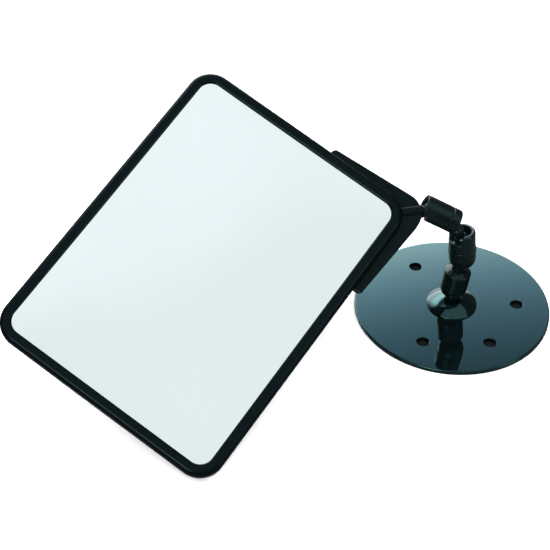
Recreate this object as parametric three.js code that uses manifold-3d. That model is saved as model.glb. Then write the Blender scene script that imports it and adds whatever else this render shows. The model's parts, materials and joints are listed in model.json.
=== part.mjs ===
// A rectangular convex traffic mirror on a jointed arm with a round screw-down base.
// Millimetres, +Z up. The origin is the centre of the base plate's underside.
// Every joint is a ball on a pin: the ball turns on its pin and the barrel tilts over the ball.

import * as THREE from 'three';
import { mergeVertices } from 'three/addons/utils/BufferGeometryUtils.js';
import Module from 'manifold-3d';

const wasm = await Module();
wasm.setup();

// ---- driving sizes ----
const GAP = 0.15;                 // clearance between neighbouring pieces
const SLIP = 0.1;                 // closer clearance, for bores and stacked sheets
const FINE = 28;                  // facets round a barrel
const COARSE = 20;                // facets round a ball, a pin or a seat

const PLATE = { radius: 60, thick: 2.8, edge: 0.6, holeCircle: 40.1, holeRadius: 3.75 };
const HOLE_ANGLES = [0, 120, 240, 300];
const BOSS = { radius: 15.4, shoulder: 0.8, height: 5.8, flat: 4.6, holeDepth: 4.6 };

const BALL = {
  radius: 5, neck: 3, pin: 2, pinGap: 0.08, head: 2.8, headTop: 4, headThick: 0.9, headEdge: 0.5,
};
const STUD = { thread: 4.1, collar: 4.2, collarThick: 1.2 };
const BARREL = { radius: 8.2, bore: 5.25, lip: 4.5, mouth: 5.8 };
const SEAT = { radius: 5.05, hole: 1.6, face: 5.15, back: 5.9, lipAngle: 28 };
const SPRING = { outer: 4.8, inner: 2.6, rise: 0.45, thick: 0.45 };
const SLOT = { halfAngle: 55, shallow: 1.2, deep: -1.3 };  // floors, above the ball's centre
const DOME_END = 4.4;             // from the ball to the flat end of a domed barrel

const LOWER = { length: 23.8, top: 14.2, capThick: 2.9, cone: 2.2, flat: 4.5, spigot: 5.1, holeDepth: 4.4 };
const RISER = { span: 13, radius: 8.1, rim: 6.4, edge: 1.4, spigot: 6.7, cup: 3.1, spigotEnd: 10.4 };
const COLLAR = { radius: 8.4, start: 3.6, end: 7.6, edge: 0.4 };
const CROSS = { span: 13, radius: 7.4, spigot: 6.3, cup: 1.3, groove: 0.5, spigotEnd: 4.6 };
const CROSS_RIGHT = { rim: 4.5, edge: 1.5 };
const CROSS_LEFT = { rim: 5.4, edge: 0.6 };
const ELBOW = { length: 20.5, sleeve: 4.1, sleeveStart: 7.2, sleeveEnd: 12.6, edge: 0.8 };

const PANEL = { width: 148.2, height: 198.5, corner: 14.8 };
const TRIM = {
  face: 6.8, depth: 9, lipThick: 1.4, round: 2.6, channel: 2,
  lipEdge: 1.2, lipDrop: 0.9, backLipEdge: 0.8, backLipDrop: 0.6, backEdge: 1.6,
};
const FACE = { rise: 9, thick: 2 };
const PAD = { thick: 1.2 };
const BOARD = { thick: 2.4 };

const SHOE = {
  leg: 58, endOut: 4.6, cornerOut: 8, cornerRound: 13, chamfer: 1.5, chamferOut: 2,
  inside: 6, room: 0.25, front: -6.2, web: 3,
};
const SHOE_PAD = { leg: 46, corner: 6, margin: 1 };
const SHOE_BOSS = { radius: 4, start: -5.6, end: 6.8, wall: 1.5 };  // along the diagonal, like STUD_REACH
const SHOE_STUD = { thread: 10, collar: 3.6, collarThick: 0.6 };
const STUD_REACH = 12.4;          // along the diagonal, from the panel's square corner to the ball
const STUD_DEPTH = 9;             // the stud lies this far behind the rim's front
const SHOE_SCREWS = [[61, 86.4], [62, 55], [29.5, 87.4]];  // across and up from the panel's centre
const SHOE_SCREW = {
  radius: 2, head: 3.6, headThick: 1.8, crown: 2.6, crownAngle: 35, skirt: 0.6, short: 0.4,
};

// directions as the mirror is set: compass angle from +X, tilt from +Z, in degrees
const POSE = {
  baseBall: 17.3,
  lower: { heading: 0, tilt: 7.2 },
  riser: { heading: 180, tilt: 6.1 },
  elbow: { heading: -155.2, tilt: 27.7 },
  cross: { heading: 172.8, tilt: 64.8 },
  head: { heading: -81.8, tilt: 33, spin: 48.2 },
};
// where each slotted mouth is cut away, as an angle about its barrel from the lean's downhill side
const SLOT_TURN = { riser: 31, crossRight: -21, crossLeft: 36 };

// ---- helpers ----
const rad = THREE.MathUtils.degToRad;

function arc(centreR, centreZ, radius, from, to, steps) {
  return Array.from({ length: steps + 1 }, (_, i) => {
    const a = rad(from + ((to - from) * i) / steps);
    return [centreR + radius * Math.cos(a), centreZ + radius * Math.sin(a)];
  });
}

function welded(geometry) {
  const bare = geometry.clone();
  bare.deleteAttribute('normal');
  bare.deleteAttribute('uv');
  const merged = mergeVertices(bare, 1e-4);
  const corners = merged.index.array;
  const kept = [];
  for (let i = 0; i < corners.length; i += 3) {
    const [a, b, c] = [corners[i], corners[i + 1], corners[i + 2]];
    if (a !== b && b !== c && c !== a) kept.push(a, b, c);
  }
  merged.setIndex(kept);
  return signedVolume(merged) < 0 ? flipped(merged) : merged;
}

function signedVolume(geometry) {
  const p = geometry.attributes.position;
  const [a, b, c] = [new THREE.Vector3(), new THREE.Vector3(), new THREE.Vector3()];
  const corners = geometry.index.array;
  let sum = 0;
  for (let i = 0; i < corners.length; i += 3) {
    a.fromBufferAttribute(p, corners[i]);
    b.fromBufferAttribute(p, corners[i + 1]);
    c.fromBufferAttribute(p, corners[i + 2]);
    sum += a.dot(b.cross(c));
  }
  return sum;
}

function flipped(geometry) {
  const corners = Array.from(geometry.index.array);
  for (let i = 0; i < corners.length; i += 3) {
    [corners[i + 1], corners[i + 2]] = [corners[i + 2], corners[i + 1]];
  }
  geometry.setIndex(corners);
  return geometry;
}

function solidOf(geometry) {
  const closed = welded(geometry);
  return new wasm.Manifold(new wasm.Mesh({
    numProp: 3,
    vertProperties: new Float32Array(closed.attributes.position.array),
    triVerts: new Uint32Array(closed.index.array),
  }));
}

function geometryOf(solid) {
  const mesh = solid.getMesh();
  const geometry = new THREE.BufferGeometry();
  geometry.setAttribute('position', new THREE.BufferAttribute(mesh.vertProperties, 3));
  geometry.setIndex(new THREE.BufferAttribute(mesh.triVerts, 1));
  return geometry;
}

// A solid of revolution about Z from [radius, height] points.
// A profile that doesn't start and end on the axis closes on itself.
function turned(profile, facets) {
  const points = profile.map(([r, z]) => new THREE.Vector2(Math.max(r, 0), z));
  const first = points[0];
  const last = points[points.length - 1];
  if (first.x > 0 || last.x > 0) points.push(first.clone());
  return welded(new THREE.LatheGeometry(points, facets).rotateX(Math.PI / 2));
}

function extruded(shape, from, to, curveSegments = 6) {
  const options = { depth: to - from, bevelEnabled: false, curveSegments };
  return new THREE.ExtrudeGeometry(shape, options).translate(0, 0, from);
}

function roundedRectangle(width, height, corner) {
  const [x, y] = [width / 2, height / 2];
  const shape = new THREE.Shape();
  shape.absarc(x - corner, y - corner, corner, 0, rad(90));
  shape.absarc(-x + corner, y - corner, corner, rad(90), rad(180));
  shape.absarc(-x + corner, -y + corner, corner, rad(180), rad(270));
  shape.absarc(x - corner, -y + corner, corner, rad(270), rad(360));
  return shape;
}

const looks = {
  paint: { color: 0x0e1a1c, roughness: 0.22, metalness: 0.3 },
  coated: { color: 0x0b1314, roughness: 0.35, metalness: 0.2 },
  steel: { color: 0x8d9294, roughness: 0.3, metalness: 1 },
  nylon: { color: 0xd8d5c8, roughness: 0.5, metalness: 0 },
  rubber: { color: 0x14181b, roughness: 0.45, metalness: 0 },
  plastic: { color: 0x15191b, roughness: 0.5, metalness: 0 },
  foam: { color: 0xe8e6df, roughness: 0.95, metalness: 0 },
  mirror: { color: 0xe8f2f3, roughness: 0.04, metalness: 1 },
};

function piece(name, geometry, look) {
  const mesh = new THREE.Mesh(geometry, new THREE.MeshStandardMaterial(looks[look]));
  mesh.name = name;
  return mesh;
}

// ---- base: the plate is solid under the boss, and the stud screws into the boss ----
function basePlate() {
  const { radius, thick, edge } = PLATE;
  const upper = arc(radius - edge, thick - edge, edge, 0, 90, 3);
  const lower = arc(radius - edge, edge, edge, -90, 0, 3);
  let plate = solidOf(turned([[0, 0], ...lower, ...upper, [0, thick]], 60));
  for (const angle of HOLE_ANGLES) {
    const hole = new THREE.CylinderGeometry(PLATE.holeRadius, PLATE.holeRadius, 2 * thick, COARSE)
      .rotateX(Math.PI / 2)
      .translate(PLATE.holeCircle * Math.cos(rad(angle)), PLATE.holeCircle * Math.sin(rad(angle)), 0)
      .translate(0, 0, thick / 2);
    plate = plate.subtract(solidOf(hole));
  }
  return geometryOf(plate);
}

function baseBoss() {
  const { radius, height, flat, holeDepth } = BOSS;
  const bore = BALL.neck + SLIP;
  const [low, top] = [PLATE.thick, PLATE.thick + height];
  const shoulder = low + BOSS.shoulder;
  // the dome is one arc, centred on the axis, from the shoulder to the flat top
  const centre = (radius ** 2 - flat ** 2 + shoulder ** 2 - top ** 2) / (2 * (shoulder - top));
  const sphere = Math.hypot(radius, shoulder - centre);
  const from = THREE.MathUtils.radToDeg(Math.asin((shoulder - centre) / sphere));
  const to = THREE.MathUtils.radToDeg(Math.asin((top - centre) / sphere));
  return turned([
    [0, low], [radius, low], ...arc(0, centre, sphere, from, to, 7),
    [bore, top], [bore, top - holeDepth], [0, top - holeDepth],
  ], 40);
}

// ---- ball joints ----
// The head of a pin, as an outline from its top down to its shoulder on the pin.
function pinHead() {
  const { pin, head, headTop, headThick, headEdge } = BALL;
  return [
    [head - headEdge, headTop], [head, headTop - headEdge / 2], [head, headTop - headThick],
    [pin, headTop - headThick],
  ];
}

// A stud whose pin carries a ball centred on the origin. It stands on a collar at z = foot
// and its threaded end goes down from there.
function ballStud(foot, { thread, collar, collarThick }) {
  const { neck, pin, headTop } = BALL;
  const end = foot - thread;
  return turned([
    [0, end], [neck, end], [neck, foot], [collar, foot], [collar, foot + collarThick],
    [neck, foot + collarThick], [neck, -headTop], [pin, -headTop], ...pinHead().reverse(), [0, headTop],
  ], COARSE);
}

// the elbow's stud has a pin and a ball at each end
function doubleStud() {
  const { neck, pin, headTop } = BALL;
  const { length, sleeve, sleeveStart, sleeveEnd, edge } = ELBOW;
  const end = [...pinHead(), [pin, -headTop], [neck, -headTop]];
  const lower = end.map(([r, z]) => [r, -z]);
  const upper = end.map(([r, z]) => [r, length + z]).reverse();
  return turned([
    [0, -headTop], ...lower, [neck, sleeveStart], [sleeve, sleeveStart + edge],
    [sleeve, sleeveEnd - edge], [neck, sleeveEnd], ...upper, [0, length + headTop],
  ], COARSE);
}

// The ball is bored for its pin, flat where the neck meets it and sunk for the pin's head.
function ball() {
  const { radius, pin, pinGap, head, headTop, headThick } = BALL;
  const [bore, sink] = [pin + pinGap, head + SLIP];
  const flat = headTop - SLIP;
  const lowAngle = THREE.MathUtils.radToDeg(Math.asin(-flat / radius));
  const highAngle = THREE.MathUtils.radToDeg(Math.acos(sink / radius));
  const sinkFloor = headTop - headThick - SLIP;
  return turned([
    [bore, -flat], ...arc(0, 0, radius, lowAngle, highAngle, 10), [sink, sinkFloor], [bore, sinkFloor],
  ], COARSE);
}

const lipAngle = THREE.MathUtils.radToDeg(Math.acos(BARREL.lip / BARREL.bore));

// The mouth of a straight barrel, as an outline from its inner wall round the rim to its outer
// wall, for a ball centred at z = 0 and a mouth that opens upwards.
function straightMouth(radius, { rim, edge }) {
  const { bore, mouth } = BARREL;
  return [
    ...arc(0, 0, bore, 0, lipAngle, 3), [mouth, rim],
    ...arc(radius - edge, rim - edge, edge, 90, 0, 3),
  ];
}

// the same for a barrel with a domed end
function domedMouth(radius) {
  const { bore, mouth } = BARREL;
  const edgeAngle = THREE.MathUtils.radToDeg(Math.asin(DOME_END / radius));
  return [...arc(0, 0, bore, 0, lipAngle, 3), [mouth, DOME_END], ...arc(0, 0, radius, edgeAngle, 0, 4)];
}

const opensDown = (outline) => outline.map(([r, z]) => [r, -z]);
const raised = (outline, height) => outline.map(([r, z]) => [r, z + height]);

// Cuts the side of a mouth away so that the neck can swing far over to that side.
function slotted(cup, heading, from, to) {
  const reach = 2 * BARREL.radius;
  const [start, end] = [rad(heading - SLOT.halfAngle), rad(heading + SLOT.halfAngle)];
  const wedge = new THREE.Shape();
  wedge.moveTo(0, 0);
  wedge.lineTo(reach * Math.cos(start), reach * Math.sin(start));
  wedge.absarc(0, 0, reach, start, end);
  const cutter = extruded(wedge, from, to, 8);
  return geometryOf(solidOf(cup).subtract(solidOf(cutter)));
}

function seat() {
  const { radius, hole, face, back, lipAngle: low } = SEAT;
  const high = THREE.MathUtils.radToDeg(Math.acos(hole / face));
  const lowZ = face * Math.sin(rad(low));
  const front = arc(0, 0, face, low, high, 5);
  return turned([[radius, lowZ], ...front, [hole, back], [radius, back]], COARSE);
}

function discSpring() {
  const { outer, inner, rise, thick } = SPRING;
  const low = SEAT.back + SLIP / 2;
  return turned([
    [outer, low], [outer, low + thick], [inner, low + thick + rise], [inner, low + rise],
  ], COARSE);
}

function turnedOver(geometry, height) {
  return geometry.rotateX(Math.PI).translate(0, 0, height);
}

// ---- lower barrel ----
function lowerSocket() {
  const { radius, bore } = BARREL;
  const top = LOWER.top - LOWER.capThick - GAP;
  return turned([...opensDown(domedMouth(radius)), [radius, top], [bore, top]], FINE);
}

function lowerCap() {
  const { radius } = BARREL;
  const { top, capThick, cone, flat, spigot, holeDepth } = LOWER;
  const bore = BALL.neck + SLIP;
  const floor = top - capThick;
  const spigotEnd = SEAT.back + SPRING.thick + SPRING.rise + 2 * GAP;
  return turned([
    [0, spigotEnd], [spigot, spigotEnd], [spigot, floor], [radius, floor], [radius, top - cone],
    [flat, top], [bore, top], [bore, top - holeDepth], [0, top - holeDepth],
  ], FINE);
}

// ---- riser barrel: ball to ball along +Z ----
function riserLowerCup() {
  const { radius, spigot, cup, spigotEnd } = RISER;
  return turned([
    ...opensDown(domedMouth(radius)), [radius, cup], [spigot, cup], [spigot, spigotEnd],
    [BARREL.bore, spigotEnd],
  ], FINE);
}

function riserCollar() {
  const { radius, start, end, edge } = COLLAR;
  const inner = RISER.spigot + GAP;
  return turned([
    [inner, start], [radius - edge, start], [radius, start + edge], [radius, end - edge],
    [radius - edge, end], [inner, end],
  ], FINE);
}

function riserUpperCup(slotHeading) {
  const { span, radius } = RISER;
  const inner = RISER.spigot + GAP;
  const start = COLLAR.end + 2 * GAP;
  const step = RISER.spigotEnd + GAP;
  const cup = turned([
    [BARREL.bore, step], ...raised(straightMouth(radius, RISER), span), [radius, start], [inner, start],
    [inner, step],
  ], FINE);
  return slotted(cup, slotHeading, span + SLOT.shallow, span + 2 * RISER.rim);
}

// ---- cross barrel: ball to ball along +Z ----
function crossRightCup(slotHeading) {
  const { radius, spigot, cup: length, spigotEnd } = CROSS;
  const cup = turned([
    ...opensDown(straightMouth(radius, CROSS_RIGHT)), [radius, length], [spigot, length],
    [spigot, spigotEnd], [BARREL.bore, spigotEnd],
  ], FINE);
  return slotted(cup, slotHeading, -2 * CROSS_RIGHT.rim, -SLOT.deep);
}

function crossLeftCup(slotHeading) {
  const { span, radius } = CROSS;
  const inner = CROSS.spigot + GAP;
  const start = CROSS.cup + CROSS.groove;
  const step = CROSS.spigotEnd + GAP;
  const cup = turned([
    [BARREL.bore, step], ...raised(straightMouth(radius, CROSS_LEFT), span), [radius, start],
    [inner, start], [inner, step],
  ], FINE);
  return slotted(cup, slotHeading, span + SLOT.shallow, span + 2 * CROSS_LEFT.rim);
}

// ---- mirror panel: X across, Y up, +Z out of the face, the rim's front at z = 0 ----
// Points round a rounded rectangle, set in from the panel's outline.
function outlinePoints(inset, cornerSteps, sideSteps) {
  const { width, height, corner } = PANEL;
  const [x, y, r] = [width / 2 - inset, height / 2 - inset, Math.max(corner - inset, 0.5)];
  const corners = [[x - r, y - r, 0], [-x + r, y - r, 90], [-x + r, -y + r, 180], [x - r, -y + r, 270]];
  const points = [];
  corners.forEach(([cx, cy, start], k) => {
    const bend = arc(cx, cy, r, start, start + 90, cornerSteps);
    const [nx, ny, nextStart] = corners[(k + 1) % 4];
    const [next] = arc(nx, ny, r, nextStart, nextStart, 1);
    const last = bend[cornerSteps];
    points.push(...bend);
    for (let i = 1; i < sideSteps; i++) {
      const t = i / sideSteps;
      points.push([last[0] + (next[0] - last[0]) * t, last[1] + (next[1] - last[1]) * t]);
    }
  });
  return points;
}

// Joins rings of equal length into a skin, each to the next and the last to the first.
function skinned(rings) {
  const count = rings[0].length;
  const corners = [];
  for (let k = 0; k < rings.length; k++) {
    const [a, b] = [k * count, ((k + 1) % rings.length) * count];
    for (let i = 0; i < count; i++) {
      const j = (i + 1) % count;
      corners.push(a + i, a + j, b + j, a + i, b + j, b + i);
    }
  }
  const geometry = new THREE.BufferGeometry();
  geometry.setAttribute('position', new THREE.Float32BufferAttribute(rings.flat(2), 3));
  geometry.setIndex(corners);
  return welded(geometry);
}

function edgeTrim() {
  const { face, depth, lipThick, round, channel } = TRIM;
  const { lipEdge, lipDrop, backLipEdge, backLipDrop, backEdge } = TRIM;
  const profile = [
    ...arc(round, -round, round, 180, 90, 4),
    [face - lipEdge, 0], [face, -lipDrop], [face, -lipThick],
    [channel, -lipThick], [channel, lipThick - depth], [face, lipThick - depth],
    [face, backLipDrop - depth], [face - backLipEdge, -depth], [backEdge, -depth], [0, backEdge - depth],
  ];
  return skinned(profile.map(([inset, z]) => outlinePoints(inset, 6, 1).map(([x, y]) => [x, y, z])));
}

// The mirror bulges as a smooth pillow inside a flat edge.
function faceHeight(x, y) {
  const halfWidth = PANEL.width / 2 - TRIM.face;
  const halfHeight = PANEL.height / 2 - TRIM.face;
  const across = Math.max(0, 1 - (x / halfWidth) ** 2);
  const along = Math.max(0, 1 - (y / halfHeight) ** 2);
  return FACE.rise * across * along;
}

function mirrorFace() {
  const outer = outlinePoints(TRIM.round, 4, 6);
  const inner = outlinePoints(TRIM.face, 4, 6);
  const shares = [1, 0.92, 0.8, 0.65, 0.48, 0.3, 0.13, 0];
  const plan = [outer, ...shares.map((s) => inner.map(([x, y]) => [x * s, y * s]))];
  const front = -TRIM.lipThick - GAP;
  const top = plan.map((ring) => ring.map(([x, y]) => [x, y, front + faceHeight(x, y)]));
  const bottom = top.map((ring) => ring.map(([x, y, z]) => [x, y, z - FACE.thick])).reverse();
  return skinned([...top, ...bottom]);
}

const faceBack = -TRIM.lipThick - GAP - FACE.thick;
const padBack = faceBack - SLIP - PAD.thick;
const boardBack = padBack - SLIP - BOARD.thick;

function sheet(back, thick) {
  const inset = TRIM.round;
  const size = [PANEL.width - 2 * inset, PANEL.height - 2 * inset, PANEL.corner - inset];
  return extruded(roundedRectangle(...size), back, back + thick);
}

const diagonal = Math.SQRT1_2;

function drilled(geometry, radius, from, to) {
  let solid = solidOf(geometry);
  for (const [x, y] of SHOE_SCREWS) {
    const drill = new THREE.CylinderGeometry(radius, radius, to - from, 16)
      .rotateX(Math.PI / 2)
      .translate(x, y, (from + to) / 2);
    solid = solid.subtract(solidOf(drill));
  }
  return geometryOf(solid);
}

// ---- corner shoe: hooks round the panel's corner and holds the stud ----
function shoeOutline() {
  const { leg, endOut, cornerOut, cornerRound, chamfer, chamferOut, inside } = SHOE;
  const [x, y] = [PANEL.width / 2, PANEL.height / 2];
  const shape = new THREE.Shape();
  shape.moveTo(x - leg + chamfer, y + endOut);
  shape.lineTo(x + cornerOut - cornerRound, y + cornerOut);
  shape.absarc(x + cornerOut - cornerRound, y + cornerOut - cornerRound, cornerRound, rad(90), 0, true);
  shape.lineTo(x + endOut, y - leg + chamfer);
  shape.lineTo(x + endOut - chamferOut, y - leg);
  shape.lineTo(x - inside, y - leg);
  shape.lineTo(x - leg, y - inside);
  shape.lineTo(x - leg, y + endOut - chamferOut);
  return shape;
}

function alongDiagonal(radius, from, to, facets) {
  return new THREE.CylinderGeometry(radius, radius, to - from, facets)
    .rotateZ(rad(-45))
    .translate(PANEL.width / 2, PANEL.height / 2, -STUD_DEPTH)
    .translate(((from + to) / 2) * diagonal, ((from + to) / 2) * diagonal, 0);
}

const pocketFloor = -TRIM.depth - 2 * SLIP;
const shoeBack = pocketFloor - SHOE.web;

function cornerShoe() {
  const { radius, start, end, wall } = SHOE_BOSS;
  const block = solidOf(extruded(shoeOutline(), shoeBack, SHOE.front, 10));
  const room = SHOE.room;
  const pocketShape = roundedRectangle(
    PANEL.width + 2 * room, PANEL.height + 2 * room, PANEL.corner + room);
  const pocket = solidOf(extruded(pocketShape, pocketFloor, TRIM.depth, 10));
  const boss = solidOf(alongDiagonal(radius, start, end, COARSE));
  const thread = solidOf(alongDiagonal(BALL.neck + SLIP, start + wall, end + radius, COARSE));
  const shoe = block.add(boss).subtract(pocket).subtract(thread);
  return drilled(geometryOf(shoe), SHOE_SCREW.radius + GAP, 2 * shoeBack, -TRIM.depth / 2);
}

function shoePad() {
  const { leg, corner, margin } = SHOE_PAD;
  const inset = TRIM.face + margin;
  const [x, y] = [PANEL.width / 2 - inset, PANEL.height / 2 - inset];
  const shape = new THREE.Shape();
  shape.moveTo(x, y - corner);
  shape.absarc(x - corner, y - corner, corner, 0, rad(90));
  shape.lineTo(x - leg, y);
  shape.lineTo(x, y - leg);
  const pad = extruded(shape, -TRIM.depth - SLIP, boardBack - SLIP);
  return drilled(pad, SHOE_SCREW.radius + GAP, -2 * TRIM.depth, 0);
}

function shoeScrew() {
  const { radius, head, headThick, crown, crownAngle, skirt, short } = SHOE_SCREW;
  const under = shoeBack - SLIP;
  const back = under - headThick;
  const tip = padBack - short;
  return turned([
    [0, back], ...arc(0, back + crown, crown, -90, crownAngle - 90, 2),
    [head, under - skirt], [head, under], [radius, under], [radius, tip], [0, tip],
  ], COARSE);
}

// ---- assembly: every member stands on a ball and leads to the next one ----
function direction({ heading, tilt }) {
  const upright = new THREE.Vector3(0, 0, 1);
  return upright.applyEuler(new THREE.Euler(0, rad(tilt), rad(heading), 'ZYX'));
}

// a group at a ball's centre whose +Z leans by tilt towards heading, then turned by spin about it
function member({ heading, tilt, spin = 0 }, position, ...pieces) {
  const turn = new THREE.Group();
  turn.rotation.z = rad(spin);
  turn.add(...pieces);
  const lean = new THREE.Group();
  lean.rotation.set(0, rad(tilt), rad(heading), 'ZYX');
  lean.position.copy(position);
  lean.add(turn);
  return lean;
}

function doubleBarrelInsides(prefix, span) {
  return [
    piece(`${prefix}_first_seat`, seat(), 'nylon'),
    piece(`${prefix}_spring`, discSpring(), 'steel'),
    piece(`${prefix}_second_seat`, turnedOver(seat(), span), 'nylon'),
  ];
}

function lowerBarrel() {
  const foot = LOWER.top - LOWER.length + SLIP;
  const stud = piece('link_stud', ballStud(foot, STUD), 'steel');
  stud.position.z = LOWER.length;
  return [
    piece('lower_socket', lowerSocket(), 'coated'),
    piece('lower_seat', seat(), 'nylon'),
    piece('lower_spring', discSpring(), 'steel'),
    piece('lower_cap', lowerCap(), 'coated'),
    stud,
  ];
}

function mirrorPanel() {
  const panel = new THREE.Group();
  const board = drilled(sheet(boardBack, BOARD.thick), SHOE_SCREW.radius + SLIP, -2 * TRIM.depth, 0);
  panel.add(
    piece('mirror_face', mirrorFace(), 'mirror'),
    piece('face_pad', sheet(padBack, PAD.thick), 'foam'),
    piece('backing_board', board, 'plastic'),
    piece('edge_trim', edgeTrim(), 'rubber'),
    piece('corner_shoe', cornerShoe(), 'coated'),
    piece('shoe_pad', shoePad(), 'rubber'),
  );
  SHOE_SCREWS.forEach(([x, y], i) => {
    const screw = piece(`shoe_screw_${i + 1}`, shoeScrew(), 'steel');
    screw.position.set(x, y, 0);
    panel.add(screw);
  });
  const reach = STUD_REACH * diagonal;
  panel.position.set(-reach - PANEL.width / 2, -reach - PANEL.height / 2, STUD_DEPTH);
  return panel;
}

function mirrorHead() {
  const foot = SHOE_BOSS.end - STUD_REACH + SLIP;
  const alongStud = { heading: 45, tilt: 90 };
  const stud = member(alongStud, new THREE.Vector3(),
    piece('shoe_stud', ballStud(foot, SHOE_STUD), 'steel'),
    piece('shoe_ball', ball(), 'coated'));
  return [stud, mirrorPanel()];
}

const { lower, riser, elbow, cross, head } = POSE;
const lowerAt = new THREE.Vector3(0, 0, POSE.baseBall);
const riserAt = lowerAt.clone().addScaledVector(direction(lower), LOWER.length);
const elbowAt = riserAt.clone().addScaledVector(direction(riser), RISER.span);
const crossAt = elbowAt.clone().addScaledVector(direction(elbow), ELBOW.length);
const headAt = crossAt.clone().addScaledVector(direction(cross), CROSS.span);

const bossTop = PLATE.thick + BOSS.height;
const upright = { heading: 0, tilt: 0 };
const elbowUpperBall = piece('elbow_upper_ball', ball(), 'coated');
elbowUpperBall.position.z = ELBOW.length;

const mirror = new THREE.Group();
mirror.add(
  piece('base_plate', basePlate(), 'paint'),
  piece('base_boss', baseBoss(), 'paint'),
  member(upright, lowerAt,
    piece('base_stud', ballStud(bossTop - POSE.baseBall, STUD), 'steel'),
    piece('base_ball', ball(), 'coated')),
  member(lower, lowerAt, ...lowerBarrel()),
  member(lower, riserAt, piece('link_ball', ball(), 'coated')),
  member(riser, riserAt,
    piece('riser_lower_cup', riserLowerCup(), 'coated'),
    piece('riser_collar', riserCollar(), 'coated'),
    piece('riser_upper_cup', riserUpperCup(SLOT_TURN.riser), 'coated'),
    ...doubleBarrelInsides('riser', RISER.span)),
  member(elbow, elbowAt,
    piece('elbow_stud', doubleStud(), 'steel'),
    piece('elbow_lower_ball', turnedOver(ball(), 0), 'coated'),
    elbowUpperBall),
  member(cross, crossAt,
    piece('cross_right_cup', crossRightCup(SLOT_TURN.crossRight), 'coated'),
    piece('cross_left_cup', crossLeftCup(SLOT_TURN.crossLeft), 'coated'),
    ...doubleBarrelInsides('cross', CROSS.span)),
  member(head, headAt, ...mirrorHead()),
);

export default mirror;
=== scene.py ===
# The looks of a small convex traffic mirror: a smooth mesh and a procedural material for each piece.
# Local shapes are in millimetres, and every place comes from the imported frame's joints and boxes.
import json
import math

import bmesh
import bpy
from mathutils import Matrix, Vector


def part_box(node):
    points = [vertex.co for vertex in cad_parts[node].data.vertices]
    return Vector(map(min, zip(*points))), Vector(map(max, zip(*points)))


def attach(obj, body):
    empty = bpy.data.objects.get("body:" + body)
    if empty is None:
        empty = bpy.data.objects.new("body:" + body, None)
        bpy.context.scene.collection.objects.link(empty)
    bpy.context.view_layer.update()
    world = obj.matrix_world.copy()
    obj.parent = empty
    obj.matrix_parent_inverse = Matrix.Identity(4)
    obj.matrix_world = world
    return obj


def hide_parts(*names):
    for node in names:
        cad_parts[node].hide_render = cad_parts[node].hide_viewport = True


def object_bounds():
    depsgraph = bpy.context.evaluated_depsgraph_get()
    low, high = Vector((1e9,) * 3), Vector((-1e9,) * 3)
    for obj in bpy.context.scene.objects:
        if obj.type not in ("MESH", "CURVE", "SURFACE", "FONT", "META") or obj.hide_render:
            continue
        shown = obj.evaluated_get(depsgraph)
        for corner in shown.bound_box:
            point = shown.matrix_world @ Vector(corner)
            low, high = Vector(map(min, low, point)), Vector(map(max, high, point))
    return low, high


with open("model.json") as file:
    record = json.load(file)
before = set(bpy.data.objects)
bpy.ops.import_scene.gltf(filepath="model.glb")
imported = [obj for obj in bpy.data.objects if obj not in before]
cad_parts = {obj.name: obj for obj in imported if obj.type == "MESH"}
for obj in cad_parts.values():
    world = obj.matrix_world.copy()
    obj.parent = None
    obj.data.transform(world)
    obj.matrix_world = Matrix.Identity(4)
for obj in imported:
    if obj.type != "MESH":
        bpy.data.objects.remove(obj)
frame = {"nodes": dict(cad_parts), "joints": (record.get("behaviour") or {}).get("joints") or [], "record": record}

cad_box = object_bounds()

MM = 0.001
# In degrees: the bend that makes an edge sharp, and the corner that is too flat to round.
SHARP_ANGLE, FLAT_CORNER = 32.0, 158.0

# ---- driving sizes, in millimetres ----
# OVERCUT is how far a cutter goes past the surface it cuts.
OVERCUT = 1.0
GAP, TOUCH = 0.15, 0.1
PLATE_EDGE = 0.6
HOLE_CIRCLE, HOLE_RADIUS, HOLE_ANGLES = 40.1, 3.75, (0, 120, 240, 300)
BOSS_FLAT, BOSS_SHOULDER, BOSS_BORE, BOSS_BORE_DEPTH = 4.6, 0.8, 3.1, 4.6
BALL_RADIUS, NECK, PIN, PIN_HEAD, PIN_TOP, PIN_HEAD_THICK = 5.0, 3.0, 2.0, 2.8, 4.0, 0.9
PIN_GAP, STUD_THREAD, STUD_HOLE = 0.08, 4.1, 4.4
BORE, LIP, MOUTH = 5.25, 4.5, 5.8
LOWER_SPIGOT, LOWER_SPIGOT_END = 5.1, 7.1
LOWER = {"radius": 8.2, "length": 23.8, "top": 14.2, "cap": 2.9, "cone": 2.2, "flat": 4.5}
RISER = {"radius": 8.1, "rim": 6.4, "edge": 1.4, "spigot": 6.7, "cup": 3.1, "spigot_end": 10.4, "span": 13.0}
COLLAR = {"radius": 8.4, "start": 3.6, "end": 7.6}
CROSS = {"radius": 7.4, "spigot": 6.3, "cup": 1.3, "groove": 0.5, "spigot_end": 4.6, "span": 13.0}
CROSS_RIGHT = {"rim": 4.5, "edge": 1.5}
CROSS_LEFT = {"rim": 5.4, "edge": 0.6}
ELBOW = {"length": 20.5, "sleeve": 4.1, "start": 7.2, "end": 12.6, "edge": 0.8}
DOME_END = 4.4
SLOT_HALF, SLOT_BLEND, SLOT_SHALLOW, SLOT_DEEP = 55.0, 7.0, 1.2, -1.3
SLOT_TURN = {"riser": 31.0, "cross_right": -21.0, "cross_left": 36.0}
PANEL_WIDTH, PANEL_HEIGHT, PANEL_CORNER = 148.2, 198.5, 14.8
TRIM_FACE, TRIM_DEPTH, TRIM_LIP, TRIM_CHANNEL = 6.8, 9.0, 1.4, 2.0
TRIM_CROWN, PANEL_INSET = 3.2, 2.6
FACE_RISE, FACE_THICK, PAD_THICK, BOARD_THICK = 9.0, 2.0, 1.3, 2.4
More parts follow.
